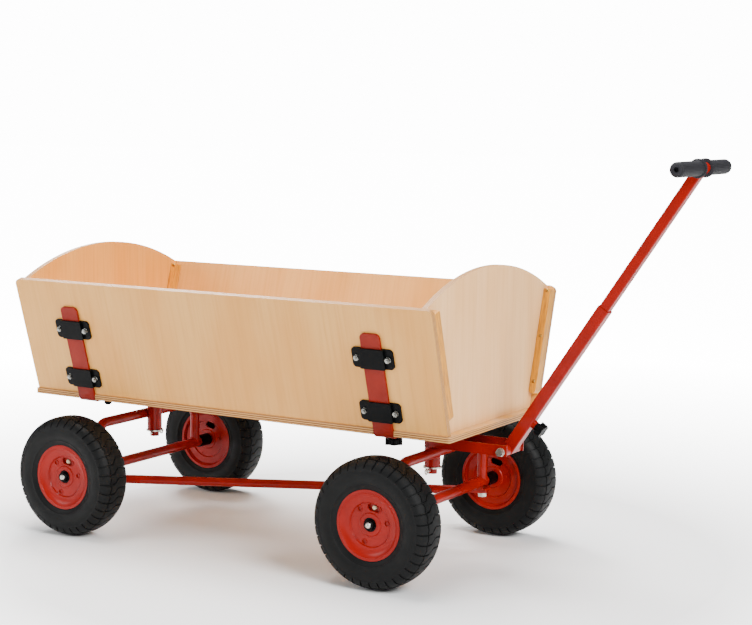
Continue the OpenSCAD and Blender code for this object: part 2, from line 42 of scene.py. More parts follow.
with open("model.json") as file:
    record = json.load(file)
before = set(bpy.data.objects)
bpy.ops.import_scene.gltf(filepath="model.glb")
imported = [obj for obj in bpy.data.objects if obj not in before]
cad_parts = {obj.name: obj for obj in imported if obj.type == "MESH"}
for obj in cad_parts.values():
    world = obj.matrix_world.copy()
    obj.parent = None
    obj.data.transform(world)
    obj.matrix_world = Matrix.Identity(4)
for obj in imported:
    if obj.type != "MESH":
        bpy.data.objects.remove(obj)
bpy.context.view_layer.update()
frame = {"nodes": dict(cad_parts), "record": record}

Colour = tuple[float, float, float, float]
Setting = float | int | str | bool | Sequence[float] | bpy.types.NodeSocket


class End(Enum):
    """The two ends of the wagon, as the CAD names them."""

    FRONT = "front"
    REAR = "rear"


class Side(Enum):
    """The two sides of the wagon, as the CAD names them."""

    LEFT = "left"
    RIGHT = "right"

    @property
    def sign(self) -> int:
        """Which way this side lies along Y."""
        return 1 if self is Side.LEFT else -1


# ---------------------------------------------------------------- node helpers


def linear(hex_code: str) -> Colour:
    """Turn an sRGB colour into the linear one that shaders take.

    Args:
        hex_code: The colour as "#rrggbb".

    Returns:
        Linear red, green, blue and an alpha of 1.
    """
    channels = (int(hex_code[i : i + 2], 16) / 255 for i in (1, 3, 5))
    return (*(c / 12.92 if c <= 0.04045 else ((c + 0.055) / 1.055) ** 2.4 for c in channels), 1.0)


def add_node(
    tree: bpy.types.NodeTree, kind: str, inputs: dict[str | int, Setting] | None = None, **settings: Setting
) -> bpy.types.Node:
    """Add a node, link or set its inputs, and set its own options.

    Args:
        tree: The node tree to add to.
        kind: The node's type.
        inputs: Values or sockets by input name or number.
        **settings: The node's own properties.

    Returns:
        The new node.
    """
    node = tree.nodes.new(kind)
    for name, value in settings.items():
        setattr(node, name, value)
    for name, value in (inputs or {}).items():
        if isinstance(value, bpy.types.NodeSocket):
            tree.links.new(value, node.inputs[name])
        else:
            node.inputs[name].default_value = value
    return node


def maths(tree: bpy.types.NodeTree, operation: str, *values: float | bpy.types.NodeSocket) -> bpy.types.NodeSocket:
    """Add a math node.

    Args:
        tree: The node tree.
        operation: The node's operation.
        *values: Its inputs, in order.

    Returns:
        The result's socket.
    """
    return add_node(tree, "ShaderNodeMath", dict(enumerate(values)), operation=operation).outputs[0]


def blend_colours(
    tree: bpy.types.NodeTree,
    factor: float | bpy.types.NodeSocket,
    first: Colour | bpy.types.NodeSocket,
    second: Colour | bpy.types.NodeSocket,
    mode: str = "MIX",
) -> bpy.types.NodeSocket:
    """Mix two colours.

    Args:
        tree: The node tree.
        factor: How much of the second colour shows.
        first: The colour at factor 0.
        second: The colour at factor 1.
        mode: The blend mode.

    Returns:
        The mixed colour's socket.
    """
    node = add_node(tree, "ShaderNodeMix", {0: factor, 6: first, 7: second}, data_type="RGBA", blend_type=mode)
    return node.outputs[2]


def remap(
    tree: bpy.types.NodeTree, value: bpy.types.NodeSocket, low: float, high: float, to_low: float, to_high: float
) -> bpy.types.NodeSocket:
    """Map a value's range to another, clamped.

    Args:
        tree: The node tree.
        value: The value to map.
        low: Where the range starts.
        high: Where the range ends.
        to_low: What low becomes.
        to_high: What high becomes.

    Returns:
        The mapped value's socket.
    """
    return add_node(tree, "ShaderNodeMapRange", {0: value, 1: low, 2: high, 3: to_low, 4: to_high}).outputs[0]


def noise(
    tree: bpy.types.NodeTree, vector: bpy.types.NodeSocket, scale: float = 1.0, detail: float = 3.0, rough: float = 0.5
) -> bpy.types.NodeSocket:
    """Add fractal noise.

    Args:
        tree: The node tree.
        vector: Where to sample it.
        scale: Features per unit of the vector.
        detail: Octaves.
        rough: How strong the small octaves are.

    Returns:
        The noise value's socket.
    """
    inputs = {"Vector": vector, "Scale": scale, "Detail": detail, "Roughness": rough}
    return add_node(tree, "ShaderNodeTexNoise", inputs).outputs["Fac"]


def stretched(
    tree: bpy.types.NodeTree, vector: bpy.types.NodeSocket, sizes_mm: tuple[float, float, float]
) -> bpy.types.NodeSocket:
    """Scale a position so that one unit is a pattern's real size.

    Args:
        tree: The node tree.
        vector: A position in metres.
        sizes_mm: The pattern's size along each direction.

    Returns:
        The scaled position's socket.
    """
    scale = tuple(1 / (size * MM) for size in sizes_mm)
    return add_node(tree, "ShaderNodeVectorMath", {0: vector, 1: scale}, operation="MULTIPLY").outputs[0]


def bump(
    tree: bpy.types.NodeTree,
    height: bpy.types.NodeSocket,
    depth_mm: float,
    strength: float = 1.0,
    below: bpy.types.NodeSocket | None = None,
) -> bpy.types.NodeSocket:
    """Turn a height into a shading normal.

    Args:
        tree: The node tree.
        height: The height, from 0 to 1.
        depth_mm: How deep the relief is.
        strength: How much of it shows.
        below: A normal that this one adds to.

    Returns:
        The normal's socket.
    """
    inputs: dict[str | int, Setting] = {"Height": height, "Distance": depth_mm * MM, "Strength": strength}
    if below is not None:
        inputs["Normal"] = below
    return add_node(tree, "ShaderNodeBump", inputs).outputs[0]


def new_material(name: str) -> tuple[bpy.types.Material, bpy.types.NodeTree]:
    """Make an empty material with an output node.

    Args:
        name: The real material's name.

    Returns:
        The material and its node tree.
    """
    material = bpy.data.materials.new(name)
    material.use_nodes = True
    material.node_tree.nodes.clear()
    return material, material.node_tree


def surface(tree: bpy.types.NodeTree, inputs: dict[str | int, Setting]) -> None:
    """Add the principled shader and the output.

    Args:
        tree: The node tree.
        inputs: The shader's inputs.
    """
    shader = add_node(tree, "ShaderNodeBsdfPrincipled", inputs)
    add_node(tree, "ShaderNodeOutputMaterial", {"Surface": shader.outputs[0]})


def object_place(tree: bpy.types.NodeTree) -> bpy.types.Node:
    """Add the texture coordinate node, whose Object output is the place in metres.

    Args:
        tree: The node tree.

    Returns:
        The node.
    """
    return add_node(tree, "ShaderNodeTexCoord")


# ---------------------------------------------------------------- finishes


@dataclass(frozen=True)
class BirchPlywood:
    """Lacquered birch plywood, with calm streaky veneer and a striped edge.

    Each board gets its own material, because the veneer's streaks and the edge's layers follow
    the board's own directions.
    """

    name: str
    normal: Vector
    grain: Vector
    face_offset: float
    face: str = "#da9a48"
    streak: str = "#c58335"
    blush: str = "#e0a658"
    edge_light: str = "#cf9856"
    edge_dark: str = "#5c3413"
    layer_mm: float = 2.0

    def build(self) -> bpy.types.Material:
        """Make the material.

        Returns:
            The material.
        """
        material, tree = new_material(self.name)
        coords = object_place(tree)
        across = self.normal.cross(self.grain)
        parts = [
            add_node(tree, "ShaderNodeVectorMath", {0: coords.outputs["Object"], 1: tuple(axis)}, operation="DOT_PRODUCT")
            for axis in (self.grain, across, self.normal)
        ]
        board = add_node(tree, "ShaderNodeCombineXYZ", {i: part.outputs["Value"] for i, part in enumerate(parts)})
        place = board.outputs[0]

        # fine pores and streaks along the grain, over broad cloudy figure
        streaks = noise(tree, stretched(tree, place, (190, 7, 20)), detail=5, rough=0.55)
        pores = noise(tree, stretched(tree, place, (26, 0.9, 9)), detail=3, rough=0.6)
        figure = noise(tree, stretched(tree, place, (330, 90, 60)), detail=2)
        warm = blend_colours(tree, remap(tree, figure, 0.36, 0.64, 0, 1), linear(self.face), linear(self.blush))
        veneer = blend_colours(tree, remap(tree, streaks, 0.44, 0.8, 0, 0.5), warm, linear(self.streak))
        veneer = blend_colours(tree, remap(tree, pores, 0.58, 0.85, 0, 0.14), veneer, linear(self.edge_dark))

        # the edge shows the layers, every second one in dark end grain
        depth = maths(tree, "SUBTRACT", self.face_offset, parts[2].outputs["Value"])
        layer = maths(tree, "DIVIDE", depth, 2 * self.layer_mm * MM)
        wave = maths(tree, "PINGPONG", layer, 0.5)
        dark = remap(tree, wave, 0.2, 0.3, 1, 0)
        fibres = noise(tree, stretched(tree, place, (1.6, 1.6, 0.5)), detail=3)
        edge = blend_colours(tree, dark, linear(self.edge_light), linear(self.edge_dark))
        edge = blend_colours(tree, remap(tree, fibres, 0.35, 0.7, 0, 0.3), edge, linear(self.streak))
        facing = add_node(
            tree, "ShaderNodeVectorMath", {0: coords.outputs["Normal"], 1: tuple(self.normal)}, operation="DOT_PRODUCT"
        )
        on_edge = remap(tree, maths(tree, "ABSOLUTE", facing.outputs["Value"]), 0.55, 0.8, 1, 0)
        colour = blend_colours(tree, on_edge, veneer, edge)
        relief = bump(tree, streaks, 0.12, 0.4, bump(tree, pores, 0.05, 0.5))
        surface(
            tree,
            {
                "Base Color": colour,
                "Roughness": remap(tree, pores, 0.3, 0.7, 0.42, 0.56),
                "Specular IOR Level": 0.3,
                "Coat Weight": 0.05,
                "Coat Roughness": 0.35,
                "Normal": relief,
            },
        )
        return material


@dataclass(frozen=True)
class LacqueredPine:
    """Orange-yellow lacquered softwood of the battens, its rings running up the bar."""

    name: str = "lacquered_pine"
    light: str = "#dc9408"
    dark: str = "#a96a08"

    def build(self, grain: Vector) -> bpy.types.Material:
        """Make the material.

        Args:
            grain: The direction of the grain.

        Returns:
            The material.
        """
        material, tree = new_material(self.name)
        coords = object_place(tree)
        along = add_node(
            tree, "ShaderNodeVectorMath", {0: coords.outputs["Object"], 1: tuple(grain)}, operation="DOT_PRODUCT"
        )
        flat = add_node(
            tree, "ShaderNodeVectorMath", {0: tuple(grain * 0.93), "Scale": along.outputs["Value"]}, operation="SCALE"
        )
        place = add_node(
            tree, "ShaderNodeVectorMath", {0: coords.outputs["Object"], 1: flat.outputs[0]}, operation="SUBTRACT"
        )
        rings = noise(tree, stretched(tree, place.outputs[0], (2.2, 2.2, 2.2)), detail=3, rough=0.5)
        patches = noise(tree, stretched(tree, place.outputs[0], (9, 9, 9)), detail=1)
        colour = blend_colours(tree, remap(tree, rings, 0.4, 0.68, 0, 1), linear(self.light), linear(self.dark))
        colour = blend_colours(tree, remap(tree, patches, 0.4, 0.7, 0, 0.35), colour, linear(self.dark))
        surface(
            tree,
            {
                "Base Color": colour,
                "Roughness": 0.4,
                "Coat Weight": 0.35,
                "Coat Roughness": 0.2,
                "Normal": bump(tree, rings, 0.1, 0.35),
            },
        )
        return material


@dataclass(frozen=True)
class PowderCoat:
    """Glossy baked paint on steel: a faint orange-peel skin that breaks up the reflections."""

    name: str
    colour: str
    deep: str
    roughness: float = 0.3
    peel_mm: float = 1.6
    edge_mm: float = 0.7

    def build(self) -> bpy.types.Material:
        """Make the material.

        Returns:
            The material.
        """
        material, tree = new_material(self.name)
        place = object_place(tree).outputs["Object"]
        peel = noise(tree, stretched(tree, place, (self.peel_mm,) * 3), detail=2)
        cloud = noise(tree, stretched(tree, place, (45, 45, 45)), detail=3)
        rounded = add_node(tree, "ShaderNodeBevel", {"Radius": self.edge_mm * MM}, samples=4)
        surface(
            tree,
            {
                "Base Color": blend_colours(tree, remap(tree, cloud, 0.35, 0.7, 0, 1), linear(self.colour), linear(self.deep)),
                "Roughness": remap(tree, cloud, 0.3, 0.7, self.roughness - 0.04, self.roughness + 0.06),
                "Specular IOR Level": 0.16,
                "Coat Weight": 0.08,
                "Coat Roughness": 0.06,
                "Normal": bump(tree, peel, 0.05, 0.3, rounded.outputs[0]),
            },
        )
        return material


@dataclass(frozen=True)
class Rubber:
    """Black rubber, faintly dusty, dull on its faces and a little shiny where it is rubbed."""

    name: str
    colour: str
    dust: str
    roughness: float = 0.58
    grain_mm: float = 0.9

    def build(self) -> bpy.types.Material:
        """Make the material.

        Returns:
            The material.
        """
        material, tree = new_material(self.name)
        place = object_place(tree).outputs["Object"]
        clouds = noise(tree, stretched(tree, place, (34, 34, 34)), detail=4, rough=0.6)
        grain = noise(tree, stretched(tree, place, (self.grain_mm,) * 3), detail=2)
        surface(
            tree,
            {
                "Base Color": blend_colours(
                    tree, remap(tree, clouds, 0.42, 0.75, 0, 0.6), linear(self.colour), linear(self.dust)
                ),
                "Specular IOR Level": 0.18,
                "Roughness": remap(tree, clouds, 0.3, 0.7, self.roughness - 0.08, self.roughness + 0.08),
                "Normal": bump(tree, grain, 0.08, 0.35),
            },
        )
        return material


@dataclass(frozen=True)
class StuddedRubber:
    """Charcoal grip rubber, moulded all over with rows of small studs round its bar."""

    name: str = "studded_grip_rubber"
    colour: str = "#0e0e11"
    stud: str = "#26262c"
    stud_mm: float = 2.9

    def build(self, centre: Vector, radius: float) -> bpy.types.Material:
        """Make the material.

        Args:
            centre: A point on the bar's axis, which runs along Y.
            radius: The grip's radius.

        Returns:
            The material.
        """
        material, tree = new_material(self.name)
        place = object_place(tree).outputs["Object"]
        local = add_node(tree, "ShaderNodeVectorMath", {0: place, 1: tuple(centre)}, operation="SUBTRACT")
        split = add_node(tree, "ShaderNodeSeparateXYZ", {0: local.outputs[0]})
        turn = maths(tree, "ARCTAN2", split.outputs[0], split.outputs[2])
        rows = round(2 * math.pi * radius / (self.stud_mm * MM))
        round_wave = maths(tree, "SINE", maths(tree, "MULTIPLY", turn, float(rows)))
        along = maths(tree, "MULTIPLY", split.outputs[1], 2 * math.pi / (self.stud_mm * MM))
        along_wave = maths(tree, "SINE", along)
        # painted highlight: the raised studs are coloured lighter than the rubber between them
        studs = remap(tree, maths(tree, "ADD", round_wave, along_wave), -0.2, 1.2, 0, 1)
        surface(
            tree,
            {
                "Base Color": blend_colours(tree, studs, linear(self.colour), linear(self.stud)),
                "Roughness": 0.62,
                "Specular IOR Level": 0.22,
                "Normal": bump(tree, studs, 0.5, 0.8),
            },
        )
        return material


@dataclass(frozen=True)
class MouldedPlastic:
    """Black moulded plastic with a fine spark-eroded grain and softly rounded edges."""

    name: str
    colour: str
    roughness: float = 0.42
    edge_mm: float = 1.0

    def build(self) -> bpy.types.Material:
        """Make the material.

        Returns:
            The material.
        """
        material, tree = new_material(self.name)
        place = object_place(tree).outputs["Object"]
        grain = noise(tree, stretched(tree, place, (0.6, 0.6, 0.6)), detail=2)
        rounded = add_node(tree, "ShaderNodeBevel", {"Radius": self.edge_mm * MM}, samples=4)
        surface(
            tree,
            {
                "Base Color": linear(self.colour),
                "Specular IOR Level": 0.08,
                "Roughness": remap(tree, grain, 0.3, 0.7, self.roughness - 0.06, self.roughness + 0.1),
                "Normal": bump(tree, grain, 0.06, 0.35, rounded.outputs[0]),
            },
        )
        return material


@dataclass(frozen=True)
class ZincPlate:
    """Bright zinc on steel hardware, slightly blotchy, its edges catching the light."""

    name: str = "bright_zinc_plate"
    colour: str = "#d4d3cd"
    tint: str = "#b9b39e"

    def build(self) -> bpy.types.Material:
        """Make the material.

        Returns:
            The material.
        """
        material, tree = new_material(self.name)
        place = object_place(tree).outputs["Object"]
        spangle = noise(tree, stretched(tree, place, (5, 5, 5)), detail=4)
        rounded = add_node(tree, "ShaderNodeBevel", {"Radius": 0.5 * MM}, samples=4)
        surface(
            tree,
            {
                "Base Color": blend_colours(tree, remap(tree, spangle, 0.4, 0.7, 0, 1), linear(self.colour), linear(self.tint)),
                "Metallic": 1.0,
                "Roughness": remap(tree, spangle, 0.3, 0.7, 0.22, 0.4),
                "Normal": rounded.outputs[0],
            },
        )
        return material


# ---------------------------------------------------------------- mesh helpers


def new_piece(name: str, mesh: bpy.types.Mesh, body: str, material: bpy.types.Material) -> bpy.types.Object:
    """Put a finished mesh in the scene and hang it on a CAD body.

    Args:
        name: The piece's name.
        mesh: Its mesh, in the row frame.
        body: The body it rides on.
        material: What it is made of.

    Returns:
        The new object.
    """
    mesh.materials.clear()
    mesh.materials.append(material)
    piece = bpy.data.objects.new(name, mesh)
    bpy.context.scene.collection.objects.link(piece)
    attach(piece, body)
    return piece


def smooth_mesh(name: str, shape: bmesh.types.BMesh, sharp_deg: float = 32.0) -> bpy.types.Mesh:
    """Turn a bmesh into a mesh that is smooth but for its sharp edges.

    Args:
        name: The mesh's name.
        shape: The bmesh, which is freed.
        sharp_deg: Edges that turn more than this stay sharp.

    Returns:
        The mesh.
    """
    bmesh.ops.recalc_face_normals(shape, faces=shape.faces)
    mesh = bpy.data.meshes.new(name)
    shape.to_mesh(mesh)
    shape.free()
    mesh.shade_smooth()
    mesh.set_sharp_from_angle(angle=math.radians(sharp_deg))
    return mesh


def grid_faces(shape: bmesh.types.BMesh, rings: list[list[bmesh.types.BMVert]], closed: bool = True) -> None:
    """Fill the quads between neighbouring rings of vertices.

    Args:
        shape: The bmesh.
        rings: Rings with as many vertices each.
        closed: Whether the last vertex of a ring joins its first.
    """
    for lower, upper in zip(rings, rings[1:]):
        count = len(lower)
        for i in range(count if closed else count - 1):
            j = (i + 1) % count
            shape.faces.new((lower[i], lower[j], upper[j], upper[i]))


def lathe(
    profile: Sequence[tuple[float, float]], steps: int, place: Callable[[float, float, float], Vector]
) -> bmesh.types.BMesh:
    """Turn a profile round an axis.

    Args:
        profile: Pairs of radius and distance along the axis; a radius of 0 closes that end.
        steps: How many steps go round.
        place: Gives the point for a radius, an angle and a distance along.

    Returns:
        The bmesh.
    """
    shape = bmesh.new()
    rings = []
    for radius, along in profile:
        if radius <= 1e-9:
            tip = shape.verts.new(place(0.0, 0.0, along))
            rings.append([tip])
        else:
            rings.append([shape.verts.new(place(radius, 2 * math.pi * i / steps, along)) for i in range(steps)])
    for lower, upper in zip(rings, rings[1:]):
        for i in range(steps):
            j = (i + 1) % steps
            if len(lower) == 1:
                shape.faces.new((lower[0], upper[j], upper[i]))
            elif len(upper) == 1:
                shape.faces.new((lower[i], lower[j], upper[0]))
            else:
                shape.faces.new((lower[i], lower[j], upper[j], upper[i]))
    return shape


def tube_along(name: str, points: Sequence[Vector], radius: float, body: str, material: bpy.types.Material) -> None:
    """Make a closed loop of round bead, such as a weld.

    Args:
        name: The piece's name.
        points: The loop's points.
        radius: The bead's radius.
        body: The body it rides on.
        material: What it is made of.
    """
    shape = bmesh.new()
    count = len(points)
    rings = []
    for i, point in enumerate(points):
        ahead = (points[(i + 1) % count] - points[i - 1]).normalized()
        side = ahead.orthogonal().normalized()
        up = ahead.cross(side)
        ripple = radius * (1 + 0.16 * math.sin(i * 2.1) + 0.08 * math.sin(i * 5.3))
        turn = [2 * math.pi * k / 8 for k in range(8)]
        rings.append([shape.verts.new(point + ripple * (math.cos(a) * side + math.sin(a) * up)) for a in turn])
    for i, ring in enumerate(rings):
        following = rings[(i + 1) % count]
        gap = min(range(8), key=lambda k: (ring[0].co - following[k].co).length)
        for k in range(8):
            a, b = ring[k], ring[(k + 1) % 8]
            shape.faces.new((a, b, following[(k + 1 + gap) % 8], following[(k + gap) % 8]))
    new_piece(name, smooth_mesh(name, shape, 80), body, material)


# ---------------------------------------------------------------- wheels


@dataclass(frozen=True)
class TyreShape:
    """Sizes of a tyre's section and tread, in millimetres."""

    radius: float = 130.0
    shoulder_radius: float = 94.0
    half_width: float = 43.5
    bead_radius: float = 68.0
    fullness: float = 2.75
    pitches: int = 38
    groove_lean: float = 0.12
    groove_depth: float = 2.6
    groove_width: float = 2.0
    ramp_width: float = 0.7
    tread_edge: float = 0.79
    centre_groove: float = 0.3
    zigzag: float = 0.02

    def section(self, t: float) -> tuple[float, float, float, float]:
        """Give a point of the section and the way out of it.

        Args:
            t: From -1 at the inner sidewall's widest point, over the crown, to 1 at the outer one.

        Returns:
            Radius, distance from the middle, and the outward direction in radius and distance.
        """
        power = 2 / self.fullness
        a = math.radians(90 * min(abs(t), 0.9999))
        rise = self.radius - self.shoulder_radius
        radius = self.shoulder_radius + rise * math.cos(a) ** power
        width = self.half_width * math.sin(a) ** power * (1 if t >= 0 else -1)
        out = Vector((math.cos(a), math.sin(a) * (1 if t >= 0 else -1)))
        return radius, width, out.x, out.y


@dataclass(frozen=True)
class RimFace:
    """Places on a rim's outer face: turns in degrees from straight up, the rest in millimetres."""

    slot_turn: float = 13.0
    slot_from_axle: float = 35.0
    slot_half: float = 7.0
    dimple_turns: tuple[float, ...] = (-40.0, 80.0, 200.0)
    dimple_from_axle: float = 37.0
    lip: tuple[tuple[float, float], ...] = (
        (46, 28.15),
        (52, 28.7),
        (57, 29.9),
        (61, 32),
        (63.5, 34.2),
        (65.2, 35.3),
        (65.8, 34.6),
        (64, 33),
        (60, 28),
        (46, 27.7),
    )
    collar: tuple[tuple[float, float], ...] = ((6.4, 34.8), (9.2, 34.8), (10.2, 33.8), (10.9, 27.4), (6.4, 27.4))


@dataclass
class Wheel:
    """One wheel: a tyre with a moulded tread, the pressed face of its rim, and the valve in the rim's slot."""

    end: End
    side: Side
    shape: TyreShape = field(default_factory=TyreShape)
    face: RimFace = field(default_factory=RimFace)

    @property
    def label(self) -> str:
        """The end and side as the CAD's names have them."""
        return f"{self.end.value}_{self.side.value}"

    @property
    def body(self) -> str:
        """The wheel's body."""
        return f"wheel_{self.label}"

    @cached_property
    def rim_centre(self) -> Vector:
        """The middle of the CAD rim's box."""
        low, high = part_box(f"rim_{self.label}")
        return (low + high) / 2

    def centre(self) -> Vector:
        """Give the wheel's middle.

        Returns:
            The middle of the CAD tyre's box.
        """
        low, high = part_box(f"tyre_{self.label}")
        return (low + high) / 2

    def tread_columns(self) -> list[tuple[float, float]]:
        """List the columns of vertices in one pitch of the tread.

        Returns:
            Pairs of the place in the pitch, from 0 to 1, and how deep the column lies, from 0 to 1.
        """
        pitch = 2 * math.pi * self.shape.radius / self.shape.pitches
        ramp = self.shape.ramp_width / pitch
        groove = self.shape.groove_width / pitch
        land_start = groove + ramp
        land = [land_start + (1 - ramp - land_start) * k / 5 for k in range(6)]
        return [(0.0, 1.0), (groove, 1.0)] + [(u, 0.0) for u in land]

    def tread_rows(self) -> list[tuple[float, float, float, float]]:
        """List the rows of vertices across the tyre.

        Returns:
            For each row its place across, its own depth, how far it zigzags, and how deep the cross
            grooves are there, all but the first from 0 to 1.
        """
        edge, middle, swing = self.shape.tread_edge, self.shape.centre_groove, 1.0
        half = [
            (0.0, 0.0, 0.0, 1.0),
            (0.12, 0.0, 0.3, 1.0),
            (0.22, 0.0, 0.8, 1.0),
            (middle - 0.018, 0.0, swing, 1.0),
            (middle - 0.008, 0.85, swing, 1.0),
            (middle + 0.008, 0.85, swing, 1.0),
            (middle + 0.018, 0.0, swing, 1.0),
            (0.39, 0.0, 0.4, 1.0),
            (0.47, 0.0, 0.0, 1.0),
            (0.56, 0.0, 0.0, 1.0),
            (0.64, 0.0, 0.0, 0.9),
            (0.72, 0.0, 0.0, 0.75),
            (edge - 0.02, 0.0, 0.0, 0.5),
            (edge, 0.0, 0.0, 0.0),
            (edge + 0.02, 0.25, 0.0, 0.0),
            (0.88, 0.25, 0.0, 0.0),
            (0.94, 0.2, 0.0, 0.0),
            (0.9999, 0.15, 0.0, 0.0),
        ]
        return [(-t, d, z, g) for t, d, z, g in reversed(half[1:])] + half

    def tyre_mesh(self) -> bpy.types.Mesh:
        """Make the tyre: blocks between nearly straight cross grooves, and two zigzag grooves round it.

        Returns:
            The mesh, in the row frame.
        """
        shape, size, centre = bmesh.new(), self.shape, self.centre()
        columns = self.tread_columns()
        pitch = 2 * math.pi / size.pitches

        def point(radius: float, turn: float, width: float) -> Vector:
            """Place a point of the tyre."""
            return centre + Vector((radius * math.sin(turn), width, radius * math.cos(turn))) * MM

        rings = []
        for t, own_depth, swing, cross in self.tread_rows():
            ring = []
            lean = size.groove_lean * pitch * math.sin(math.pi * min(abs(t) / size.tread_edge, 1.0) * 0.9)
            lean += 0.5 * pitch * (1 if t < 0 else 0)
            for i in range(size.pitches):
                for u, depth in columns:
                    zig = swing * size.zigzag * (1 if t >= 0 else -1) * math.cos(2 * math.pi * u)
                    radius, width, out_r, out_w = size.section(t + zig)
                    sunk = size.groove_depth * max(own_depth, depth * cross)
                    turn = (i + u) * pitch + lean
                    ring.append(shape.verts.new(point(radius - sunk * out_r, turn, width - sunk * out_w)))
            rings.append(ring)

        # lower sidewalls down to the beads, with a thin moulded rib near the rim
        bead = size.bead_radius
        wall = [(88.0, 42.0), (82.0, 40.4), (80.6, 40.6), (79.4, 39.3), (74.0, 36.4), (bead + 2.6, 34.6), (bead, 31.5)]
        steps = [(i + u) * pitch for i in range(size.pitches) for u, _ in columns]
        for width_sign, at_end in ((1, True), (-1, False)):
            start = self.tread_rows()[-1 if at_end else 0]
            lean = size.groove_lean * pitch * math.sin(math.pi * 0.9) + (0.5 * pitch if start[0] < 0 else 0)
            for radius, width in wall:
                ring = [shape.verts.new(point(radius, turn + lean, width_sign * width)) for turn in steps]
                if at_end:
                    rings.append(ring)
                else:
                    rings.insert(0, ring)
        grid_faces(shape, rings)
        return smooth_mesh(f"tyre_{self.label}_tread", shape, 38)

    def valve_mesh(self) -> bpy.types.Mesh:
        """Make the valve: a rubber stem with a cap, seen in the rim's slot.

        Returns:
            The mesh, in the row frame.
        """
        low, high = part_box(f"rim_{self.label}")
        centre = (low + high) / 2
        lean = math.radians(self.face.slot_turn)
        base = centre + Vector((math.sin(lean), 0, math.cos(lean))) * self.face.slot_from_axle * MM
        outward = self.side.sign

        def place(radius: float, turn: float, along: float) -> Vector:
            """Place a point of the valve, which stands out along the wheel's axis."""
            return base + Vector((radius * math.cos(turn), outward * along, radius * math.sin(turn))) * MM

        profile = [(0, 6), (5.4, 6), (5.2, 12), (4.2, 15), (3.9, 17), (4.3, 17.2), (4.3, 24.4), (3.6, 25.4), (0, 25.6)]
        return smooth_mesh(f"valve_{self.label}", lathe(profile, 24, place))

    def on_face(self, turn_deg: float, radius: float, along: float, across: float = 0.0) -> Vector:
        """Give a point on the rim's outer face.

        Args:
            turn_deg: How far round the wheel, from straight up towards the front.
            radius: Distance from the axle, in millimetres.
            along: Distance out from the wheel's middle, in millimetres.
            across: Distance to the side of the radius, in millimetres.

        Returns:
            The point.
        """
        a = math.radians(turn_deg)
        out, tangent = Vector((math.sin(a), 0, math.cos(a))), Vector((math.cos(a), 0, -math.sin(a)))
        return self.rim_centre + (out * radius + tangent * across + Vector((0, self.side.sign * along, 0))) * MM

    def oval(self, place: tuple[float, float, float], radius: float, half: float) -> list[Vector]:
        """Go round an oval on the rim's face.

        Args:
            place: Its turn in degrees, and its distances from the axle and out from the middle.
            radius: The radius of its ends.
            half: Half the length of its straight sides; 0 gives a circle.

        Returns:
            The points.
        """
        turn_deg, from_axle, along = place
        points = []
        for i in range(48):
            a = 2 * math.pi * (i + 0.5) / 48
            across = math.copysign(half, math.cos(a)) + radius * math.cos(a)
            points.append(self.on_face(turn_deg, from_axle + radius * math.sin(a), along, across))
        return points

    def turned(self, name: str, profile: Sequence[tuple[float, float]]) -> bpy.types.Mesh:
        """Turn a closed outline round the axle.

        Args:
            name: The mesh's name.
            profile: Pairs of distance from the axle and out from the wheel's middle.

        Returns:
            The mesh.
        """
        shape = bmesh.new()
        turns = [360 * i / 96 for i in range(96)]
        rings = [[shape.verts.new(self.on_face(turn, radius, along)) for turn in turns] for radius, along in profile]
        grid_faces(shape, [*rings, rings[0]])
        return smooth_mesh(name, shape, 40)

    def build_rim(self, enamel: bpy.types.Material, black: bpy.types.Material) -> None:
        """Add the pressed details of the rim's face.

        Args:
            enamel: The rim's paint.
            black: The plastic of the collar round the axle's nut.
        """
        face = self.face
        slot = (face.slot_turn, face.slot_from_axle)
        edge = self.oval((*slot, 25.5), 7.9, face.slot_half)
        tube_along(f"slot_lip_{self.label}", edge, 1.4 * MM, self.body, enamel)
        pocket = bmesh.new()
        ovals = [self.oval((*slot, along), 7.6, face.slot_half) for along in (18.5, 20.5)]
        rings = [[pocket.verts.new(point) for point in oval] for oval in ovals]
        for ring in rings:
            pocket.faces.new(ring)
        for i in range(48):
            j = (i + 1) % 48
            pocket.faces.new((rings[0][i], rings[0][j], rings[1][j], rings[1][i]))
        mesh = smooth_mesh(f"slot_pocket_{self.label}", pocket, 40)
        new_piece(f"slot_pocket_{self.label}", mesh, self.body, enamel)
        for i, turn_deg in enumerate(face.dimple_turns):
            ring = self.oval((turn_deg, face.dimple_from_axle, 25.3), 5.0, 0)
            tube_along(f"dimple_{i}_{self.label}", ring, 0.9 * MM, self.body, enamel)
        mesh = self.turned(f"rim_lip_{self.label}", face.lip)
        new_piece(f"rim_lip_{self.label}", mesh, self.body, enamel)
        mesh = self.turned(f"nut_collar_{self.label}", face.collar)
        new_piece(f"nut_collar_{self.label}", mesh, f"{self.end.value}_axle", black)

    def build(self, rubber: bpy.types.Material, cap: bpy.types.Material) -> None:
        """Make the wheel's pieces.

        Args:
            rubber: The tyre's material.
            cap: The valve's material.
        """
        tyre = new_piece(f"tread_{self.label}", self.tyre_mesh(), self.body, rubber)
        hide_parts(f"tyre_{self.label}")
        new_piece(f"valve_{self.label}", self.valve_mesh(), self.body, cap)


# ---------------------------------------------------------------- handle


@dataclass(frozen=True)
class GripShape:
    """Sizes of a grip beyond what the CAD box says, in millimetres."""

    collar_width: float = 5.0
    bar_radius: float = 11.2
    collar_radius: float = 18.4
    grip_radius: float = 14.5
    end_round: float = 7.0
    dimple_radius: float = 5.5
    dimple_depth: float = 5.0


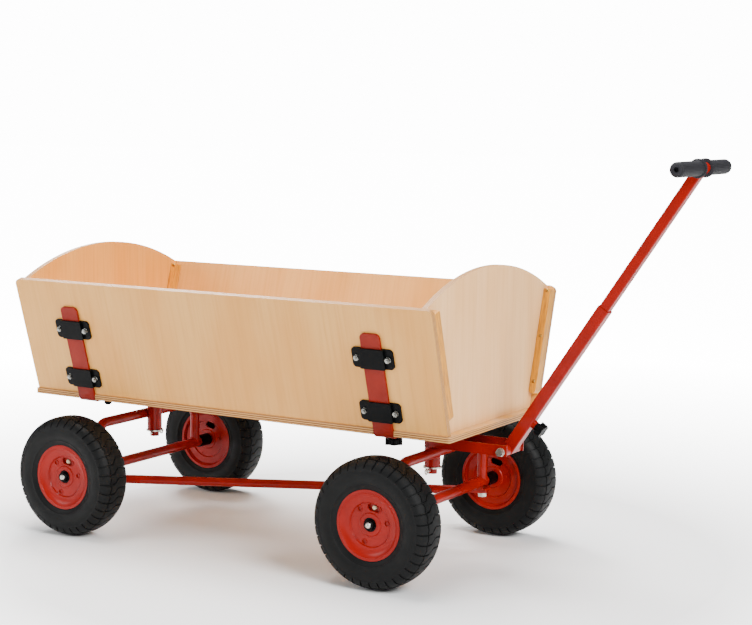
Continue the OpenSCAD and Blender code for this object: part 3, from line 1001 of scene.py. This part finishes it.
@dataclass
class Grip:
    """One grip of the handle, domed at its end, with a round recess there."""

    side: Side
    shape: GripShape = field(default_factory=GripShape)

    def profile(self, length: float) -> list[tuple[float, float]]:
        """List the grip's section from its inner end outwards.

        Args:
            length: The grip's length in millimetres.

        Returns:
            Pairs of radius and distance from the inner end.
        """
        s = self.shape
        collar = [
            (s.bar_radius, 0.0),
            (s.collar_radius - 1.5, 0.0),
            (s.collar_radius - 0.4, 0.5),
            (s.collar_radius, 1.6),
            (s.collar_radius, s.collar_width - 1.6),
            (s.collar_radius - 0.6, s.collar_width - 0.4),
            (s.collar_radius - 2.0, s.collar_width),
            (s.grip_radius + 0.6, s.collar_width + 0.6),
            (s.grip_radius, s.collar_width + 2.0),
        ]
        straight = length - s.end_round - s.collar_width - 2
        barrel = [(s.grip_radius, s.collar_width + 2 + straight * k / 12) for k in range(1, 13)]
        dome = []
        for k in range(1, 7):
            a = math.radians(15 * k)
            inner = s.grip_radius - s.end_round
            dome.append((inner + s.end_round * math.cos(a), length - s.end_round + s.end_round * math.sin(a)))
        recess = [
            (s.dimple_radius, length),
            (s.dimple_radius - 0.7, length - 0.7),
            (s.dimple_radius - 0.9, length - s.dimple_depth),
            (0.0, length - s.dimple_depth - 0.6),
        ]
        return collar + barrel + dome + recess

    def build(self, rubber: StuddedRubber) -> None:
        """Make the grip.

        Args:
            rubber: Its finish.
        """
        node = f"grip_{self.side.value}"
        low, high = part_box(node)
        centre = (low + high) / 2
        inner_y = low.y if self.side is Side.LEFT else high.y

        def place(radius: float, turn: float, along: float) -> Vector:
            """Place a point of the grip."""
            x, z = radius * math.sin(turn) * MM, radius * math.cos(turn) * MM
            return Vector((centre.x + x, inner_y + self.side.sign * along * MM, centre.z + z))

        mesh = smooth_mesh(f"studded_{node}", lathe(self.profile((high.y - low.y) / MM), 64, place), 40)
        material = rubber.build(centre, self.shape.grip_radius * MM)
        piece = new_piece(f"studded_{node}", mesh, "handle", material)
        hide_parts(node)


# ---------------------------------------------------------------- frame and bed


@dataclass
class Welds:
    """Beads where the frame's tubes meet."""

    paint: bpy.types.Material
    bead: float = 1.7

    def leg_beads(self, end: End) -> int:
        """Lay a bead where each leg of a bow stands on its axle beam.

        Args:
            end: Which axle.

        Returns:
            How many beads were laid.
        """
        low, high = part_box(f"{end.value}_bow")
        beam_low, beam_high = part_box(f"{end.value}_axle_shaft")
        axle_x, axle_z = (beam_low.x + beam_high.x) / 2, (beam_low.z + beam_high.z) / 2
        tube = 11 * MM
        leg_y = (high.y - low.y) / 2 - 11 * MM
        for side in Side:
            points = []
            for i in range(56):
                a = 2 * math.pi * i / 56
                x, y = tube * math.cos(a), tube * math.sin(a)
                rise = math.sqrt(max(tube * tube - x * x, 0.0)) + 0.4 * MM
                points.append(Vector((axle_x + x * 1.02, side.sign * leg_y + y * 1.02, axle_z + rise)))
            name = f"weld_{end.value}_bow_{side.value}"
            tube_along(name, points, self.bead * MM, f"{end.value}_axle", self.paint)
        return 2

    def ring_bead(self, name: str, centre: Vector, axis: Vector, radius_mm: float, body: str) -> None:
        """Lay a round bead.

        Args:
            name: The piece's name.
            centre: The ring's middle.
            axis: The ring's axis.
            radius_mm: The ring's radius.
            body: The body it rides on.
        """
        side = axis.orthogonal().normalized()
        up = axis.cross(side).normalized()
        turns = [2 * math.pi * i / 64 for i in range(64)]
        points = [centre + radius_mm * MM * (math.cos(a) * side + math.sin(a) * up) for a in turns]
        tube_along(name, points, self.bead * MM, body, self.paint)

    def build(self) -> int:
        """Lay all the beads.

        Returns:
            How many beads were laid.
        """
        count = sum(self.leg_beads(end) for end in End)
        for end in End:
            low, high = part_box(f"kingpin_{end.value}")
            tube_low, tube_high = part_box(f"{end.value}_head_tube")
            middle = (tube_low + tube_high) / 2
            collar_z = high.z - 5.6 * MM
            self.ring_bead(f"weld_collar_{end.value}", Vector((middle.x, 0, collar_z)), Vector((0, 0, 1)), 22.4, "chassis")
            count += 1
        return count


@dataclass
class Bed:
    """The plywood boards and the battens."""

    lean_deg: float = 17.0

    def side_directions(self, side: Side) -> tuple[Vector, Vector]:
        """Give the way out of a side panel and the way up it.

        Args:
            side: Which side.

        Returns:
            The outward normal and the direction up the panel.
        """
        lean = math.radians(self.lean_deg)
        out = Vector((0, side.sign * math.cos(lean), -math.sin(lean)))
        up = Vector((0, side.sign * math.sin(lean), math.cos(lean)))
        return out, up

    @staticmethod
    def furthest(node: str, direction: Vector) -> float:
        """Say how far a CAD node reaches along a direction.

        Args:
            node: The node's name.
            direction: A unit direction.

        Returns:
            The largest reach of its vertices, in metres.
        """
        return max(vertex.co.dot(direction) for vertex in frame["nodes"][node].data.vertices)

    def build(self) -> None:
        """Give every board and batten its wood."""
        up = Vector((0, 0, 1))
        ahead = Vector((1, 0, 0))
        floor = BirchPlywood("birch_plywood_floor", up, ahead, self.furthest("floor_board", up), face="#d9ae80")
        paint_node("floor_board", floor.build())
        for side in Side:
            node = f"side_panel_{side.value}"
            out, rise = self.side_directions(side)
            paint_node(node, BirchPlywood(f"birch_plywood_side_{side.value}", out, rise, self.furthest(node, out)).build())
            paint_node(f"battens_{side.value}", LacqueredPine(f"lacquered_pine_{side.value}").build(rise))
        # painted highlight: the front end board's veneer is paler than the side boards', for the light falling on the
        # front; the rear board's veneer is more orange
        for end, face, streak, blush in (
            (End.FRONT, "#e6b072", "#d2965a", "#ecbb80"),
            (End.REAR, "#e69c3c", "#ca7c26", "#eba94e"),
        ):
            node = f"end_panel_{end.value}"
            wood = BirchPlywood(
                f"birch_plywood_end_{end.value}", ahead, up, self.furthest(node, ahead), face=face, streak=streak, blush=blush
            )
            paint_node(node, wood.build())


def paint_node(node: str, material: bpy.types.Material) -> None:
    """Give a CAD node a better material.

    Args:
        node: The node's name.
        material: The material.
    """
    slots = frame["nodes"][node].data.materials
    slots.clear()
    slots.append(material)


def soften(node: str, width_mm: float, sharp_deg: float = 35.0) -> None:
    """Break a CAD node's sharp edges with a small bevel.

    Args:
        node: The node's name.
        width_mm: The bevel's width.
        sharp_deg: Edges that turn more than this are bevelled.
    """
    piece = frame["nodes"][node]
    bevel = piece.modifiers.new("broken_edges", "BEVEL")
    bevel.width = width_mm * MM
    bevel.segments = 2
    bevel.limit_method = "ANGLE"
    bevel.angle_limit = math.radians(sharp_deg)
    bevel.harden_normals = True


def paint_record_slots(finishes: dict[str, bpy.types.Material]) -> int:
    """Give each CAD node the finish of its slot in the record.

    Args:
        finishes: A material for each slot that one finish covers.

    Returns:
        How many nodes were painted.
    """
    count = 0
    for part in frame["record"]["subparts"]:
        material = finishes.get(part["material_slot"])
        if material is not None:
            paint_node(part["node"], material)
            count += 1
    return count


# ---------------------------------------------------------------- studio


@dataclass(frozen=True)
class Camera:
    """Where the wagon is seen from."""

    place: tuple[float, float, float] = (1.8134, -3.0863, 0.9209)
    azimuth_deg: float = 32.9
    elevation_deg: float = 6.9
    roll_deg: float = 0.4
    lens_mm: float = 82.18
    shift: tuple[float, float] = (0.1097, 0.0075)

    def build(self) -> None:
        """Set the scene's camera."""
        data = bpy.data.cameras.new("camera")
        data.lens = self.lens_mm
        data.sensor_width = 36.0
        data.shift_x, data.shift_y = self.shift
        data.clip_end = 60.0
        camera = bpy.data.objects.new("camera", data)
        az, el, roll = (math.radians(a) for a in (self.azimuth_deg, self.elevation_deg, self.roll_deg))
        back = Vector((math.sin(az) * math.cos(el), -math.cos(az) * math.cos(el), math.sin(el)))
        right = Vector((math.cos(az), math.sin(az), 0.0))
        up = back.cross(right)
        turned_right = math.cos(roll) * right + math.sin(roll) * up
        turned_up = math.cos(roll) * up - math.sin(roll) * right
        camera.matrix_world = Matrix.Translation(self.place) @ Matrix((turned_right, turned_up, back)).transposed().to_4x4()
        bpy.context.scene.collection.objects.link(camera)
        bpy.context.scene.camera = camera


@dataclass(frozen=True)
class Softbox:
    """A large square lamp, aimed at a point."""

    name: str
    place: tuple[float, float, float]
    target: tuple[float, float, float]
    size: float
    power: float

    def build(self) -> None:
        """Add the lamp."""
        data = bpy.data.lights.new(self.name, "AREA")
        data.shape = "SQUARE"
        data.size = self.size
        data.energy = self.power
        lamp = bpy.data.objects.new(self.name, data)
        aim = Vector(self.place) - Vector(self.target)
        lamp.matrix_world = Matrix.Translation(self.place) @ aim.to_track_quat("Z", "Y").to_matrix().to_4x4()
        bpy.context.scene.collection.objects.link(lamp)


def build_floor() -> None:
    """Lay a wide pale floor under the wagon, which glows white away from the wagon as painted light."""
    shape = bmesh.new()
    corners = [shape.verts.new((x, y, -0.0005)) for x, y in ((-30, -30), (30, -30), (30, 30), (-30, 30))]
    shape.faces.new(corners)
    mesh = bpy.data.meshes.new("studio_floor")
    shape.to_mesh(mesh)
    shape.free()
    material, tree = new_material("pale_studio_floor")
    seen = add_node(tree, "ShaderNodeLightPath").outputs["Is Camera Ray"]
    place = object_place(tree).outputs["Object"]
    away = add_node(tree, "ShaderNodeVectorMath", {0: place}, operation="LENGTH").outputs["Value"]
    # painted light: to camera rays the floor glows, not at all within 0.75 m of the middle and up to strength 14 at 3
    # m, so it turns white away from the wagon while the shadows near it stay
    painted_glow = maths(tree, "MULTIPLY", seen, remap(tree, away, 0.75, 3.0, 0.0, 14.0))
    paper = {"Base Color": linear("#f4f4f4"), "Roughness": 0.9, "Specular IOR Level": 0.1}
    surface(tree, {**paper, "Emission Color": linear("#ffffff"), "Emission Strength": painted_glow})
    mesh.materials.append(material)
    ground = bpy.data.objects.new("studio_floor", mesh)
    bpy.context.scene.collection.objects.link(ground)


def build_studio() -> None:
    """Add the camera, the floor and soft white light from all round."""
    Camera().build()
    build_floor()
    world = bpy.data.worlds.new("white_studio")
    world.use_nodes = True
    tree = world.node_tree
    seen = add_node(tree, "ShaderNodeLightPath").outputs["Is Camera Ray"]
    background = tree.nodes["Background"]
    background.inputs["Color"].default_value = (1.0, 1.0, 1.0, 1.0)
    tree.links.new(remap(tree, seen, 0, 1, 0.32, 14.0), background.inputs["Strength"])
    bpy.context.scene.world = world
    for lamp in (
        Softbox("key_softbox", (3.6, -1.5, 2.9), (0.1, 0.0, 0.3), 1.8, 300.0),
        Softbox("top_softbox", (-0.6, 0.4, 3.6), (-0.2, 0.0, 0.2), 2.2, 300.0),
        Softbox("side_softbox", (-2.6, -2.8, 1.6), (-0.2, 0.0, 0.3), 1.6, 70.0),
        Softbox("rim_softbox", (-2.2, 1.6, 2.4), (-0.2, -0.2, 0.2), 0.9, 90.0),
    ):
        lamp.build()


def main() -> None:
    """Dress the wagon and light it."""
    logging.basicConfig(level=logging.INFO, format="%(name)s: %(message)s")
    build_studio()
    red = PowderCoat("red_powder_coat", "#8e0d00", "#800b00").build()
    rim_red = PowderCoat("rim_red_enamel", "#8e0c01", "#820a00", roughness=0.4).build()
    plastic = MouldedPlastic("black_moulded_plastic", "#020304").build()
    tyre_rubber = Rubber("tyre_rubber", "#020303", "#060708").build()
    zinc = ZincPlate().build()
    nylon = MouldedPlastic("cream_nylon", "#b9a588", 0.5).build()
    painted = paint_record_slots(
        {
            "red_paint": red,
            "rim_paint": rim_red,
            "black_plastic": plastic,
            "tyre_rubber": tyre_rubber,
            "zinc": zinc,
            "nylon": nylon,
        }
    )
    LOG.info("%d nodes repainted", painted)
    brassy = ZincPlate("yellow_zinc_plate", "#b08a4a", "#7d5a24").build()
    steel = ZincPlate("dull_zinc_plate", "#9c9c98", "#66665f").build()
    # painted shade: a darker, browner copy of the red powder coat, which the cross members get for the shade on them
    shaded_stake_red = PowderCoat("stake_red_painted_shade", "#821400", "#741100", roughness=0.5).build()
    for side in Side:
        paint_node(f"batten_screws_{side.value}", brassy)
        paint_node(f"clip_bolts_{side.value}", steel)
    for end in End:
        paint_node(f"cross_member_{end.value}", shaded_stake_red)
    Bed().build()
    for node in ("floor_board", "side_panel_left", "side_panel_right", "end_panel_front", "end_panel_rear"):
        soften(node, 0.9)
    for end in End:
        for side in Side:
            wheel = Wheel(end, side)
            wheel.build(tyre_rubber, nylon)
            wheel.build_rim(rim_red, plastic)
    LOG.info("wheels: %d tyres, valves and rim faces", 4)
    grip_rubber = StuddedRubber()
    for side in Side:
        Grip(side).build(grip_rubber)
    LOG.info("welds: %d", Welds(red).build())


if __name__ == "__main__":
    main()
